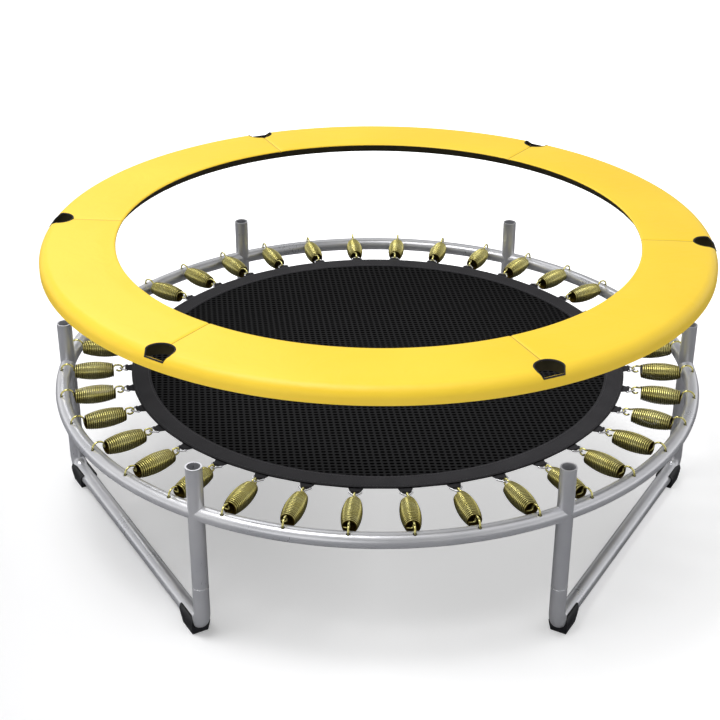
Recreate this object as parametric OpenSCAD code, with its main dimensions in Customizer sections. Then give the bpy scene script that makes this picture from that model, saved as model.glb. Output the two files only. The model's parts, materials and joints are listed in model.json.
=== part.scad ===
// Small round garden trampoline with its spring pad lifted off the frame.
// The origin is the centre of the trampoline on the floor, and the front is -Y.
// Six posts stand at 0, 60, 120 ... degrees, and 36 springs lie between them.

/* [Frame ring] */
// Radius of the frame ring, to the middle of its tube
ring_r = 686; // [640:1:740]
// Outside diameter of the ring tube
ring_tube_d = 31; // [29:0.5:31.5]
// Wall of the ring tube
ring_wall = 1.5; // [1:0.1:2.5]
// Height of the middle of the ring tube above the floor
ring_height = 287.5; // [270:0.5:330]
// Diameter of the holes that take the spring hooks
hook_hole_d = 8; // [7:0.1:9]

/* [Posts] */
// Outside diameter of the posts
post_d = 32; // [30:0.5:33]
// Inside diameter of the posts, where a net pole slides in
post_bore_d = 26; // [24:0.5:27]
// Height of the post tops above the middle of the ring tube
post_rise = 99.5; // [80:0.5:110]
// Length of the posts below the middle of the ring tube
post_drop = 168.5; // [150:0.5:180]

/* [Legs] */
// Outside diameter of the leg tube
leg_d = 32; // [29:0.5:32]
// Wall of the leg tube
leg_wall = 1.5; // [1:0.1:2.5]
// Bend radius of the leg tube, to its middle
leg_bend_r = 30; // [28:1:40]
// Length of the drawn-down leg end inside the post
spigot_len = 58; // [40:1:80]
// Wall of the drawn-down leg end
spigot_wall = 1.5; // [1:0.1:2.5]

/* [Feet] */
// Thickness of the foot under the leg tube
sole_t = 10; // [7:0.5:11]
// Wall of the foot round the leg tube
foot_wall = 3.3; // [2.5:0.1:4.5]
// Length of the sole along the leg tube
sole_len = 46; // [38:1:60]
// Distance of the sole from the post's axis
sole_start = 14; // [12:1:24]

/* [Springs] */
// Number of springs between two posts
springs_per_bay = 6; // [4:1:7]
// Wire diameter of the springs
spring_wire = 4; // [3:0.1:4.5]
// Length of the wound body
spring_len = 87; // [80:1:92]
// Outside diameter at the middle of the wound body
spring_mid_d = 40; // [34:0.5:41]
// Outside diameter at both ends of the wound body
spring_end_d = 28; // [24:0.5:29]
// Height of the spring's axis above the middle of the ring tube
spring_rise = 10.5; // [9:0.5:12]
// Distance of the wound body from the middle of the ring tube
spring_inset = 22; // [21:0.5:24]

/* [Mat] */
// Distance of the mat's edge from the middle of the ring tube
mat_inset = 147; // [145:1:154]
// Thickness of the woven mat
mat_t = 2; // [1:0.1:3]
// Width of the smooth band round the mat
band_w = 41; // [30:1:50]
// Thickness of the smooth band
band_t = 1.2; // [0.8:0.1:2]
// Width of the webbing tabs where they hold the triangle rings
tab_w = 22; // [20:1:24]
// Width of the webbing tabs at the mat's edge
tab_root_w = 28; // [26:1:34]
// Thickness of one layer of webbing
web_t = 1.2; // [0.8:0.1:1.5]
// Wire diameter of the triangle rings
vring_wire = 3.5; // [3:0.1:3.6]

/* [Spring pad] */
// Height of the lifted pad's top above the middle of the ring tube
pad_lift = 321.5; // [260:0.5:400]
// Turn of the lifted pad against the posts
pad_turn = -5; // [-6:0.5:-4]
// Width of the pad, from its inner edge to the outside of its skirt
pad_w = 156; // [151:1:162]
// The inner edge recedes by this much from the top to the underside
pad_bevel = 15; // [8:1:20]
// Thickness of the pad over the springs
pad_t = 23; // [19:1:30]
// Thickness of the pad's cover
skin_t = 3.5; // [2.5:0.1:4]
// Depth of the rounded outer skirt
skirt_h = 33; // [30:1:42]
// Radius of the rolled outer edge
roll_r = 21; // [17:1:24]
// Clearance between the skirt and the posts
skirt_gap = 1.5; // [1:0.1:3]
// Thickness of the lining round the pole openings, under the binding
lining_t = 2.5; // [2:0.1:3.5]
// Clearance all round the foam in its pocket
foam_gap = 0.3; // [0.2:0.1:0.5]
// Full width of a pole opening, inside its binding
hole_w = 53; // [52:1:58]
// Width of a pole opening at its straight outer side
hole_outer_w = 40; // [38:1:48]
// Width of the binding round a pole opening
bind_w = 3; // [2:0.5:4]

/* [Hidden] */
$fn = 96;
// Steps of a full turn for the wide rings
wide_fn = 360;

bays = 6;
bay_angle = 360 / bays;
spring_step = bay_angle / springs_per_bay;
// A cut runs this far past the face that it opens
past = 1;

ring_tube_r = ring_tube_d / 2;
post_r = post_d / 2;
post_bore_r = post_bore_d / 2;
post_top = ring_height + post_rise;
post_foot = ring_height - post_drop;

leg_r = leg_d / 2;
bar_z = sole_t + leg_r;
// Two neighbouring posts are as far apart as the bay's chord
leg_span = 2 * ring_r * sin(bay_angle / 2);
spigot_gap = 0.3;
spigot_socket_r = post_bore_r + spigot_gap;
spigot_end_gap = 2;
shoulder_t = 2;

foot_gap = 0.15;
foot_r = leg_r + foot_gap + foot_wall;
sole_w = leg_d + 1;
sole_chamfer_z = -0.3 * leg_r;
foot_top_z = 0.75 * leg_r;
foot_toe = 12;
foot_heel = 6;
grip_angle = 45;

spring_z = ring_height + spring_rise;
spring_out_r = ring_r - spring_inset;
spring_in_r = spring_out_r - spring_len;
spring_steps = 12;
// Under 1, the barrel's ends are rounder than a sine curve
barrel_shoulder = 0.75;
// Wound springs: turns of the body, rings of each turn, sides of the wire
spring_turns = 20;
turn_rings = 8;
wire_sides = 6;
// The drawn wire is a little thinner than the real one, so that no turn touches the next
wound_wire_d = spring_wire - 0.3;
// The front bay has its middle springs wound turn by turn
wound_bay = 5;
wound_springs = 4;
// The body's wall is a little thicker than the wire that leaves it
barrel_wall = spring_wire + 0.6;
bend_ball_d = spring_wire + 0.4;
// Outer hook: an arc over the ring's shoulder and down into its hole
outer_hook_r = 13.5;
outer_hook_back = ring_r - 8.5;
outer_hook_z = ring_height + 15;
outer_hook_from = -25;
outer_hook_to = 200;
hook_hole_lean = 16;
// Inner hook: a straight run off the top of the last turn, and an open loop
loop_r = 7.25;
loop_top_z = spring_z + spring_end_d / 2 - barrel_wall / 2;
loop_z = loop_top_z - loop_r;
loop_back = 10;
loop_centre_r = spring_in_r - loop_back;
loop_turn = 225;
hook_root = 3;

tie_gap = 0.3;
vring_depth = 15;
vring_half = tab_w / 2 + vring_wire / 2 + tie_gap;
// The loop's wire lies in the crook of the triangle ring, clear of both its slanted sides
vring_crook = (spring_wire / 2 + vring_wire / 2 + tie_gap) * norm([vring_half, vring_depth]) / vring_half;
vring_apex_r = loop_centre_r - loop_r + vring_crook;
vring_base_r = vring_apex_r - vring_depth;
vring_bend_bulge = 0.4;
tab_eye_r = vring_wire / 2 + tie_gap;
// The tab's folded end narrows along the slanted sides of the triangle ring
vring_slope = vring_half / vring_depth;
tab_end_r = vring_base_r + tab_eye_r + web_t;
tab_neck_r = vring_base_r + (tab_half(vring_base_r) - tab_w / 2) / vring_slope;
tab_t = 2 * web_t;
tab_z = loop_z - tab_t / 2;
mat_r = ring_r - mat_inset;
mat_z = tab_z + tab_t;
band_z = mat_z + mat_t;
tab_in_r = mat_r - band_w + 4;

pad_top = ring_height + pad_lift;
skirt_in_r = ring_r + post_r + skirt_gap;
pad_out_r = skirt_in_r + skin_t;
pad_in_r = pad_out_r - pad_w;
hole_r = hole_w / 2;
// The round side of a pole opening reaches this far inwards
hole_depth = 42;
hole_centre_r = skirt_in_r - hole_depth + hole_r;
// The lining runs this far into the wall of the foam pocket
lining_bite = 0.5;
pocket_wall_r = hole_centre_r - hole_r - bind_w - lining_t + lining_bite;
pocket_out_r = pocket_wall_r - skin_t;
edge_r = 4;
bevel_slope = pad_bevel / (pad_t - edge_r);
bind_gap = 0.15;
// The binding's ends stop this far short of the skirt
bind_end = 1.5;

// Bay and joint angles
function bay_start(k) = (k - 1) * bay_angle;
function spring_angle(k, i) = bay_start(k) + spring_step * (i + 0.5);
function seam_angle(k) = bay_start(k) + pad_turn;

// Points of an arc, from angle a to angle b
function arc(cx, cy, r, a, b, n) = [for (i = [0:n]) let (t = a + (b - a) * i / n) [cx + r * cos(t), cy + r * sin(t)]];

// Radius of the spring's barrel at u, from 0 at one end to 1 at the other
function barrel_r(u) = spring_end_d / 2 + (spring_mid_d - spring_end_d) / 2 * pow(sin(180 * u), barrel_shoulder);

// Half width of a tab's folded end at radius r, clear of the triangle ring's slanted sides
function tab_half(r) =
    vring_half - (r - vring_base_r) * vring_slope - tab_eye_r * sqrt(1 + vring_slope * vring_slope);

// Radius of the pocket's slanted inner side at height z under the pad's top, with a further gap g
function pocket_side_r(z, g) =
    pad_in_r - bevel_slope * (z + edge_r) + (skin_t + g) * sqrt(1 + bevel_slope * bevel_slope);

// Frame ring

module ring_tube(r, a) {
    rotate_extrude(angle = a, $fn = wide_fn)
        translate([ring_r, 0])
            circle(r = r, $fn = 96);
}

module ring_arc(k) {
    color("silver")
        difference() {
            rotate([0, 0, bay_start(k)])
                translate([0, 0, ring_height])
                    difference() {
                        ring_tube(ring_tube_r, bay_angle);
                        ring_tube(ring_tube_r - ring_wall, bay_angle);
                    }
            for (j = [k, k + 1])
                at_post(j)
                    cylinder(r = post_r, h = post_top);
            for (i = [0:springs_per_bay - 1])
                rotate([0, 0, spring_angle(k, i)])
                    translate([ring_r, 0, ring_height])
                        rotate([0, hook_hole_lean, 0])
                            cylinder(d = hook_hole_d, h = ring_tube_d);
        }
}

module at_post(k) {
    rotate([0, 0, bay_start(k)])
        translate([ring_r, 0, 0])
            children();
}

// Posts

module post(k) {
    color("silver")
        at_post(k)
            translate([0, 0, post_foot])
                difference() {
                    cylinder(r = post_r, h = post_top - post_foot);
                    translate([0, 0, -past])
                        cylinder(r = post_bore_r, h = post_top - post_foot + 2 * past);
                    translate([0, 0, -past])
                        cylinder(r = spigot_socket_r, h = spigot_len + spigot_end_gap + past);
                }
}

// Legs. In a leg's own frame x runs from one post to the next, and z is up.

module at_leg(j) {
    at_post(2 * j)
        rotate([0, 0, 90 + bay_angle / 2])
            children();
}

module leg_bend(r) {
    translate([leg_bend_r, 0, bar_z + leg_bend_r])
        rotate([90, 0, 0])
            rotate([0, 0, 180])
                rotate_extrude(angle = 90)
                    translate([leg_bend_r, 0])
                        circle(r = r);
}

// Half of the bent tube, from the middle of the bottom bar to height top
module leg_half(r, top) {
    translate([0, 0, bar_z + leg_bend_r])
        cylinder(r = r, h = top - bar_z - leg_bend_r);
    leg_bend(r);
    translate([leg_bend_r, 0, bar_z])
        rotate([0, 90, 0])
            cylinder(r = r, h = leg_span / 2 - leg_bend_r);
}

module leg_whole(r, top) {
    leg_half(r, top);
    translate([leg_span, 0, 0])
        mirror([1, 0, 0])
            leg_half(r, top);
}

module leg(j) {
    spigot_r = post_bore_r;
    color("silver")
        at_leg(j)
            difference() {
                union() {
                    leg_whole(leg_r, post_foot);
                    for (x = [0, leg_span])
                        translate([x, 0, post_foot - shoulder_t])
                            cylinder(r = spigot_r, h = spigot_len + shoulder_t);
                }
                leg_whole(leg_r - leg_wall, post_foot - shoulder_t);
                for (x = [0, leg_span])
                    translate([x, 0, post_foot - 2 * shoulder_t])
                        cylinder(r = spigot_r - spigot_wall, h = spigot_len + 2 * shoulder_t + past);
            }
}

// Feet: a sleeve clipped round the leg tube from below, with a flat sole

module foot_section() {
    difference() {
        union() {
            circle(r = foot_r);
            polygon([
                [-sole_w / 2, -leg_r - sole_t],
                [sole_w / 2, -leg_r - sole_t],
                [foot_r, sole_chamfer_z],
                [-foot_r, sole_chamfer_z]
            ]);
        }
        polygon([
            [0, 0],
            [leg_d * tan(grip_angle), leg_d],
            [-leg_d * tan(grip_angle), leg_d]
        ]);
    }
}

module foot_side() {
    polygon([
        [sole_start, -leg_r - sole_t],
        [sole_start + sole_len, -leg_r - sole_t],
        [sole_start + sole_len + foot_toe / 3, sole_chamfer_z],
        [sole_start + sole_len + foot_toe, foot_top_z],
        [sole_start - foot_heel, foot_top_z],
        [sole_start - foot_heel, 0]
    ]);
}

module foot_at_end() {
    difference() {
        intersection() {
            translate([0, 0, bar_z])
                rotate([90, 0, 90])
                    linear_extrude(height = leg_span / 2)
                        foot_section();
            translate([0, foot_r, bar_z])
                rotate([90, 0, 0])
                    linear_extrude(height = 2 * foot_r)
                        foot_side();
        }
        leg_half(leg_r + foot_gap, post_foot);
    }
}

module foot(k) {
    j = ceil(k / 2);
    color("#222222")
        at_leg(j)
            translate([k % 2 == 1 ? 0 : leg_span, 0, 0])
                mirror([k % 2 == 1 ? 0 : 1, 0, 0])
                    foot_at_end();
}

// Springs. In a spring's own frame x runs outwards from the trampoline's axis.

module spring_barrel() {
    outside = [for (i = [0:spring_steps]) let (u = i / spring_steps) [barrel_r(u), u * spring_len]];
    inside = [for (i = [spring_steps:-1:0]) let (u = i / spring_steps) [barrel_r(u) - barrel_wall, u * spring_len]];
    translate([spring_in_r, 0, spring_z])
        rotate([0, 90, 0])
            rotate_extrude()
                polygon(concat(outside, inside));
}

// A round wire bent in the upright plane of the spring, from angle a to angle b
module wire_arc(cx, cz, r, a, b) {
    translate([cx, 0, cz])
        rotate([90, 0, 0])
            rotate([0, 0, a])
                rotate_extrude(angle = b - a)
                    translate([r, 0])
                        circle(d = spring_wire);
}

module outer_hook() {
    wire_arc(outer_hook_back, outer_hook_z, outer_hook_r, outer_hook_from, outer_hook_to);
    // The wire crosses the mouth of the last turn to reach the hook
    translate([outer_hook_back + outer_hook_r * cos(outer_hook_to), 0, outer_hook_z + outer_hook_r * sin(outer_hook_to)])
        union() {
            sphere(d = bend_ball_d);
            rotate([90, 0, 0])
                cylinder(d = spring_wire, h = spring_end_d / 2 - barrel_wall / 2);
        }
}

module inner_hook() {
    translate([loop_centre_r, 0, loop_top_z])
        rotate([0, 90, 0])
            cylinder(d = spring_wire, h = loop_back + hook_root);
    wire_arc(loop_centre_r, loop_z, loop_r, 90, 90 + loop_turn);
}

module spring() {
    spring_barrel();
    outer_hook();
    inner_hook();
}

// Wound springs. The route of the wire runs from the tip of the inner hook to the tip of the outer one.

last_ring = spring_turns * turn_rings - turn_rings / 4;
cross_r = outer_hook_back + outer_hook_r * cos(outer_hook_to);
cross_z = outer_hook_z + outer_hook_r * sin(outer_hook_to);

// Point of the wound body after ring number i
function body_point(i) =
    let (u = i / last_ring, a = i * 360 / turn_rings, r = barrel_r(u) - spring_wire / 2)
    [spring_in_r + spring_wire / 2 + u * (spring_len - spring_wire), r * sin(a), spring_z + r * cos(a)];

function hook_points(x, z, r, from, to, n) = [for (p = arc(x, z, r, from, to, n)) [p[0], 0, p[1]]];

wire_route = concat(
    hook_points(loop_centre_r, loop_z, loop_r, 90 + loop_turn, 90, 7),
    [[spring_in_r - hook_root / 2, 0, loop_top_z]],
    [for (i = [0.5:last_ring]) body_point(i)],
    [
        [cross_r - spring_wire / 2, -spring_end_d / 4, spring_z],
        [cross_r, -spring_wire / 4, cross_z - spring_wire / 4]
    ],
    hook_points(outer_hook_back, outer_hook_z, outer_hook_r, outer_hook_to - 10, outer_hook_from, 8)
);

function unit(v) = v / norm(v);
function heading(route, i) = unit(route[min(i + 1, len(route) - 1)] - route[max(i - 1, 0)]);
function square_to(n, t) = unit(n - t * (n * t));

// A tube round a route: one ring of corners at each point, none twisted against the last
module wire_tube(route, r, sides) {
    last = len(route) - 1;
    normals = [
        for (i = 0, n = square_to([0, 1, 0], heading(route, 0));
            i <= last;
            i = i + 1, n = square_to(n, heading(route, min(i, last))))
        n
    ];
    corners = [
        for (i = [0:last], s = [0:sides - 1])
            let (a = s * 360 / sides, b = cross(heading(route, i), normals[i]))
            route[i] + r * (cos(a) * normals[i] + sin(a) * b)
    ];
    walls = [
        for (i = [0:last - 1], s = [0:sides - 1])
            let (p = i * sides + s, q = i * sides + (s + 1) % sides)
            each [[p, p + sides, q + sides], [p, q + sides, q]]
    ];
    caps = [
        for (s = [1:sides - 2])
            each [[0, s, s + 1], [last * sides, last * sides + s + 1, last * sides + s]]
    ];
    polyhedron(points = corners, faces = concat(walls, caps));
}

// Least clear distance between stretches of the wire that are at least half a turn apart
function self_gap(route) = min([
    for (i = [0:len(route) - 1], j = [i + turn_rings / 2:len(route) - 1]) norm(route[i] - route[j])
]) - wound_wire_d;

echo(least_gap_of_a_wound_spring = self_gap(wire_route));

function is_wound(k, i) = k == wound_bay && abs(i + 0.5 - springs_per_bay / 2) < wound_springs / 2;

module springs(k) {
    color("#a59a45")
        for (i = [0:springs_per_bay - 1])
            rotate([0, 0, spring_angle(k, i)])
                if (is_wound(k, i))
                    wire_tube(wire_route, wound_wire_d / 2, wire_sides);
                else
                    spring();
}

// Mat

module mat() {
    color("#1c1c1f")
        translate([0, 0, mat_z])
            cylinder(r = mat_r, h = mat_t, $fn = 180);
}

module mat_band() {
    color("#2b2a2d")
        translate([0, 0, band_z])
            difference() {
                cylinder(r = mat_r, h = band_t, $fn = 180);
                translate([0, 0, -past])
                    cylinder(r = mat_r - band_w, h = band_t + 2 * past, $fn = 180);
            }
}

// A cylinder lying across the spring's plane, round the triangle ring's bar
module across(r, w) {
    translate([vring_base_r, w / 2, loop_z])
        rotate([90, 0, 0])
            cylinder(r = r, h = w);
}

// Plan of a tab out to radius r, where it is w wide
module tab_plan(r, w) {
    polygon([
        [tab_in_r, -tab_root_w / 2],
        [mat_r, -tab_root_w / 2],
        [tab_neck_r, -tab_w / 2],
        [r, -w / 2],
        [r, w / 2],
        [tab_neck_r, tab_w / 2],
        [mat_r, tab_root_w / 2],
        [tab_in_r, tab_root_w / 2]
    ]);
}

// A strap sewn under the mat's edge and folded round the triangle ring's bar
module mat_tab() {
    difference() {
        union() {
            translate([0, 0, tab_z])
                linear_extrude(height = tab_t)
                    tab_plan(vring_base_r, 2 * tab_half(vring_base_r));
            intersection() {
                across(tab_eye_r + web_t, tab_w);
                translate([0, 0, tab_z - tab_t])
                    linear_extrude(height = 3 * tab_t)
                        tab_plan(tab_end_r, 2 * tab_half(tab_end_r));
            }
        }
        across(tab_eye_r, tab_root_w);
    }
}

module mat_tabs() {
    color("#2b2a2d")
        for_each_spring()
            mat_tab();
}

module for_each_spring() {
    for (k = [1:bays])
        for (i = [0:springs_per_bay - 1])
            rotate([0, 0, spring_angle(k, i)])
                children();
}

// A straight side of the triangle ring, from [x, y] p to q, with the bend at p
module vring_side(p, q) {
    run = q - p;
    translate([p[0], p[1], loop_z]) {
        rotate([0, 90, atan2(run[1], run[0])])
            cylinder(d = vring_wire, h = norm(run));
        sphere(d = vring_wire + vring_bend_bulge);
    }
}

module triangle_ring() {
    apex = [vring_apex_r, 0];
    left = [vring_base_r, vring_half];
    right = [vring_base_r, -vring_half];
    vring_side(apex, left);
    vring_side(left, right);
    vring_side(right, apex);
}

module triangle_rings() {
    color("gainsboro")
        for_each_spring()
            triangle_ring();
}

// Spring pad

// Outline of a pole opening, grown by m on every side, with x outwards
module hole_outline(m) {
    translate([hole_centre_r, 0])
        circle(r = hole_r + m);
    polygon([
        [hole_centre_r, -hole_r - m],
        [skirt_in_r, -hole_outer_w / 2 - m],
        [skirt_in_r, hole_outer_w / 2 + m],
        [hole_centre_r, hole_r + m]
    ]);
}

// An upright block with the outline of a pole opening grown by m, from height low up to high,
// and outwards as far as reach
module hole_block(m, low, high, reach = skirt_in_r) {
    translate([0, 0, low])
        linear_extrude(height = high - low)
            intersection() {
                hole_outline(m);
                translate([0, -hole_w])
                    square([reach, 2 * hole_w]);
            }
}

module pad_profile() {
    difference() {
        polygon(concat(
            [[pad_in_r + pad_bevel, -pad_t]],
            arc(pad_in_r + edge_r, -edge_r, edge_r, 180, 90, 4),
            arc(pad_out_r - roll_r, -roll_r, roll_r, 90, 0, 8),
            [[pad_out_r, -skirt_h], [skirt_in_r, -skirt_h]],
            arc(pad_out_r - roll_r, -roll_r, roll_r - skin_t, 0, 90, 8),
            [[pocket_wall_r, -skin_t], [pocket_wall_r, -pad_t]]
        ));
        pocket_section(0);
    }
}

// Section of the foam pocket, smaller by g on every side
module pocket_section(g) {
    high = -skin_t - g;
    low = skin_t + g - pad_t;
    polygon([
        [pocket_side_r(high, g), high],
        [pocket_out_r - g, high],
        [pocket_out_r - g, low],
        [pocket_side_r(low, g), low]
    ]);
}

// The panel's half of the lining at its seam number j
module half_lining(k, j) {
    intersection() {
        rotate([0, 0, seam_angle(j)])
            hole_block(bind_w + lining_t, pad_top - pad_t, pad_top - skin_t / 2);
        rotate([0, 0, seam_angle(k)])
            translate([0, 0, pad_top - pad_t - past])
                rotate_extrude(angle = bay_angle, $fn = wide_fn)
                    square([skirt_in_r + skin_t / 2, pad_t]);
    }
}

// Half of panel k, from its middle to its seam number j
module pad_cover(k, j) {
    color("#fbe04c")
        difference() {
            union() {
                rotate([0, 0, seam_angle(k) + (j - k) * bay_angle / 2])
                    translate([0, 0, pad_top])
                        rotate_extrude(angle = bay_angle / 2, $fn = wide_fn)
                            pad_profile();
                half_lining(k, j);
            }
            rotate([0, 0, seam_angle(j)])
                hole_block(bind_w, pad_top - pad_t - past, pad_top + past);
        }
}

module hole_binding(k) {
    color("#1d1b22")
        rotate([0, 0, seam_angle(k)])
            difference() {
                intersection() {
                    translate([0, 0, pad_top])
                        rotate([0, 0, -bay_angle / 2])
                            rotate_extrude(angle = bay_angle, $fn = wide_fn)
                                pad_profile();
                    hole_block(bind_w - bind_gap, pad_top - pad_t, pad_top + past, skirt_in_r - bind_end);
                }
                hole_block(0, pad_top - pad_t - past, pad_top + 2 * past);
            }
}

module pad_foam(k) {
    color("#f4f1e6")
        rotate([0, 0, seam_angle(k)])
            translate([0, 0, pad_top])
                rotate_extrude(angle = bay_angle, $fn = wide_fn)
                    pocket_section(foam_gap);
}

ring_arc(1);  // ring_arc_1
ring_arc(2);  // ring_arc_2
ring_arc(3);  // ring_arc_3
ring_arc(4);  // ring_arc_4
ring_arc(5);  // ring_arc_5
ring_arc(6);  // ring_arc_6
post(1);  // post_1
post(2);  // post_2
post(3);  // post_3
post(4);  // post_4
post(5);  // post_5
post(6);  // post_6
leg(1);  // leg_1
leg(2);  // leg_2
leg(3);  // leg_3
foot(1);  // foot_1
foot(2);  // foot_2
foot(3);  // foot_3
foot(4);  // foot_4
foot(5);  // foot_5
foot(6);  // foot_6
springs(1);  // springs_1
springs(2);  // springs_2
springs(3);  // springs_3
springs(4);  // springs_4
springs(5);  // springs_5
springs(6);  // springs_6
mat();
mat_band();
mat_tabs();
triangle_rings();
pad_cover(1, 1);  // pad_cover_1a
pad_cover(1, 2);  // pad_cover_1b
pad_cover(2, 2);  // pad_cover_2a
pad_cover(2, 3);  // pad_cover_2b
pad_cover(3, 3);  // pad_cover_3a
pad_cover(3, 4);  // pad_cover_3b
pad_cover(4, 4);  // pad_cover_4a
pad_cover(4, 5);  // pad_cover_4b
pad_cover(5, 5);  // pad_cover_5a
pad_cover(5, 6);  // pad_cover_5b
pad_cover(6, 6);  // pad_cover_6a
pad_cover(6, 7);  // pad_cover_6b
pad_foam(1);  // pad_foam_1
pad_foam(2);  // pad_foam_2
pad_foam(3);  // pad_foam_3
pad_foam(4);  // pad_foam_4
pad_foam(5);  // pad_foam_5
pad_foam(6);  // pad_foam_6
hole_binding(1);  // hole_binding_1
hole_binding(2);  // hole_binding_2
hole_binding(3);  // hole_binding_3
hole_binding(4);  // hole_binding_4
hole_binding(5);  // hole_binding_5
hole_binding(6);  // hole_binding_6
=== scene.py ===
"""A small round garden trampoline, its spring pad lifted off, in metres, +Z up and its front at -Y."""

import json
import math

import bmesh
import bpy
from mathutils import Matrix, Vector, noise

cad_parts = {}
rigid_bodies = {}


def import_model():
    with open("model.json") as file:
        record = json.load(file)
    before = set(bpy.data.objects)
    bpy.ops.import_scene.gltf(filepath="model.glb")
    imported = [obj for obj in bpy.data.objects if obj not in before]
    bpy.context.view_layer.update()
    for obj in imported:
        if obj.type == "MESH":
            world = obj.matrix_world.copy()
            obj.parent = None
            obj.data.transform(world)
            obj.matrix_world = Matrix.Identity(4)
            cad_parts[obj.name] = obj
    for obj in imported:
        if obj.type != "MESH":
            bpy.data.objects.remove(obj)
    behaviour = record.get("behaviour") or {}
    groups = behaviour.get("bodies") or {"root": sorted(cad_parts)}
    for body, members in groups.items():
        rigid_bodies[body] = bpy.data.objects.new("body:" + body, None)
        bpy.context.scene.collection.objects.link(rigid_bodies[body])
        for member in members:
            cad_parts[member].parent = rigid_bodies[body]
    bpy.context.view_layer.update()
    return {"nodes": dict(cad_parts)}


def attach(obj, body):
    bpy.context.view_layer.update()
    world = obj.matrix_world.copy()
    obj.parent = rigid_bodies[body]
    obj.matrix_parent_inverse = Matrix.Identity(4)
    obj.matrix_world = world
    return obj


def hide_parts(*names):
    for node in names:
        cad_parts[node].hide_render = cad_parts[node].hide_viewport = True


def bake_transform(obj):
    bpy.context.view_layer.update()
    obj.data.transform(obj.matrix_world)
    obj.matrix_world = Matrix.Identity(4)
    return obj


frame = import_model()

# Driving sizes. Those that the part's source holds too are the same there

MM = 0.001
BAYS = 6
BAY = math.tau / BAYS
SPRINGS_PER_BAY = 6
SPRING_COUNT = BAYS * SPRINGS_PER_BAY
SPRING_STEP = BAY / SPRINGS_PER_BAY

ring_r = 686 * MM
ring_height = 287.5 * MM
post_r = 16 * MM
post_foot = ring_height - 168.5 * MM
lip_r = 0.5 * MM

spring_wire = 4 * MM
turn_play = 0.985
crest_depth = 0.15 * MM
dull_and_shade_depth = 1.0 * MM
spring_len = 87 * MM
spring_mid_r = 20 * MM
spring_end_r = 14 * MM
barrel_shoulder = 0.75
spring_z = ring_height + 10.5 * MM
spring_out_r = ring_r - 22 * MM
spring_in_r = spring_out_r - spring_len
spring_turns = 20
turn_points = 24
outer_hook_r = 13.5 * MM
outer_hook_at = (ring_r - 8.5 * MM, ring_height + 15 * MM)
loop_r = 7.25 * MM
loop_at = (spring_in_r - 10 * MM, spring_z + spring_end_r - 2.3 * MM - loop_r)

tab_w = 22 * MM
tab_root_w = 28 * MM
tab_tail = 34 * MM
web_t = 1.2 * MM
tie_gap = 0.3 * MM
triangle_wire = 3.5 * MM
triangle_depth = 15 * MM
triangle_half = tab_w / 2 + triangle_wire / 2 + tie_gap
triangle_slope = triangle_half / triangle_depth
triangle_crook = (spring_wire / 2 + triangle_wire / 2 + tie_gap) * math.hypot(1, 1 / triangle_slope)
triangle_apex_r = loop_at[0] - loop_r + triangle_crook
triangle_base_r = triangle_apex_r - triangle_depth
tab_eye_r = triangle_wire / 2 + tie_gap

mat_r = 539 * MM
mat_t = 2 * MM
mesh_pitch_x = 12.9 * MM
mesh_pitch_y = 10.6 * MM
mesh_slot_x = 9.0 * MM
mesh_slot_y = 6.0 * MM
mesh_lean = 0.1
band_w = 41 * MM
band_t = 1.2 * MM
stitch_inset = 5 * MM
stitch_pitch = 7 * MM
stitch_len = 4.6 * MM
thread_r = 0.45 * MM
mat_z = loop_at[1] + web_t
band_z = mat_z + mat_t

pad_top = ring_height + 321.5 * MM
pad_turn = math.radians(-5)
pad_in_r = 551 * MM
pad_t = 23 * MM
skin_t = 3.5 * MM
skirt_h = 33 * MM
roll_r = 21 * MM
edge_r = 4 * MM
pad_bevel = 15 * MM
bevel_slope = pad_bevel / (pad_t - edge_r)
skirt_in_r = 703.5 * MM
pad_out_r = skirt_in_r + skin_t
pad_crown = 1.6 * MM
pad_waves = 0.9 * MM
seam_dent = 1.5 * MM
seam_pinch = 0.8 * MM
seam_line_core = 0.7 * MM
seam_line_half = 1.5 * MM
hole_r = 26.5 * MM
hole_centre_r = skirt_in_r - 42 * MM + hole_r
hole_outer_half = 20 * MM
bind_w = 3 * MM
bind_half_h = 1.9 * MM
bind_gap = 0.8 * MM
lining_t = 2.5 * MM
pocket_wall_r = hole_centre_r - hole_r - bind_w - lining_t + 0.5 * MM


def polar(r, angle, z=0.0):
    """The point at radius r and that angle about the trampoline's axis."""
    return Vector((r * math.cos(angle), r * math.sin(angle), z))


def mix(a, b, t):
    return a + (b - a) * t


def smooth_step(t):
    t = min(1.0, max(0.0, t))
    return t * t * (3 - 2 * t)


def arc_points(centre, r, start, end, steps):
    """Points of an arc in a plane, from angle start to angle end, in degrees."""
    points = []
    for i in range(steps + 1):
        angle = math.radians(mix(start, end, i / steps))
        points.append((centre[0] + r * math.cos(angle), centre[1] + r * math.sin(angle)))
    return points


def rounded_corners(corners, bend, steps):
    """A closed outline through the corners, each one rounded off over the length bend on both its sides."""
    outline = []
    for i, corner in enumerate(corners):
        corner = Vector(corner)
        before = (Vector(corners[i - 1]) - corner).normalized()
        after = (Vector(corners[(i + 1) % len(corners)]) - corner).normalized()
        for step in range(steps + 1):
            t = step / steps
            point = corner + before * bend * (1 - t) ** 2 + after * bend * t ** 2
            outline.append((point.x, point.y))
    return outline


# Materials


def srgb(red, green, blue):
    """A colour as it is seen on a screen, 0 to 255, as the shader's linear values."""
    linear = []
    for value in (red, green, blue):
        c = value / 255
        linear.append(c / 12.92 if c <= 0.04045 else ((c + 0.055) / 1.055) ** 2.4)
    return (*linear, 1.0)


def new_node(tree, kind, inputs, settings):
    """A new node in the tree, with values or other nodes' sockets on its inputs."""
    made = tree.nodes.new(kind)
    for key, value in settings.items():
        setattr(made, key, value)
    for key, value in dict(inputs).items():
        if isinstance(value, bpy.types.NodeSocket):
            tree.links.new(value, made.inputs[key])
        else:
            made.inputs[key].default_value = value
    return made


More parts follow.
